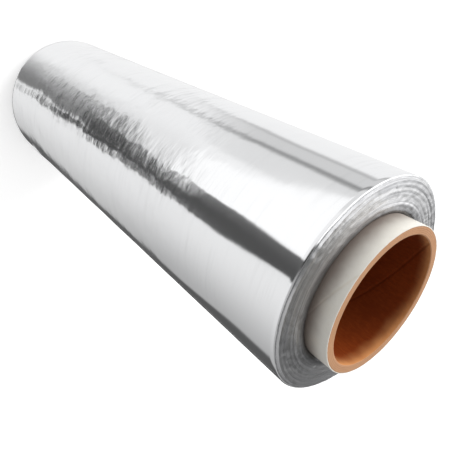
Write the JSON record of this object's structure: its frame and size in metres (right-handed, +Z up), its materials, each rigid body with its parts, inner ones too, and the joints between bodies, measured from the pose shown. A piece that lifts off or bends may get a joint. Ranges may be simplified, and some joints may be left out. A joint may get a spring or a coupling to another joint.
{
  "type": "aluminium foil roll",
  "caption": "Roll of aluminium foil wound on a spiral-wound paper core that stands out a little at both ends.",
  "frame": {"origin": "centre of the core's lower end, where the standing roll rests", "axes": "+Z up along the roll's axis; the roll is round, so X and Y are any two square directions"},
  "size_m": [0.1, 0.1, 0.32],
  "materials": {
    "foil": "bright rolled foil with fine streaks round the roll",
    "kraft_board": "plain brown kraft board with spiral ply seams and cut ends",
    "white_paper": "matt off-white paper with one spiral seam"
  },
  "bodies": {
    "root": {"foil_winding": "foil", "core_tube": "kraft_board", "core_outer_ply": "white_paper"}
  },
  "joints": []
}
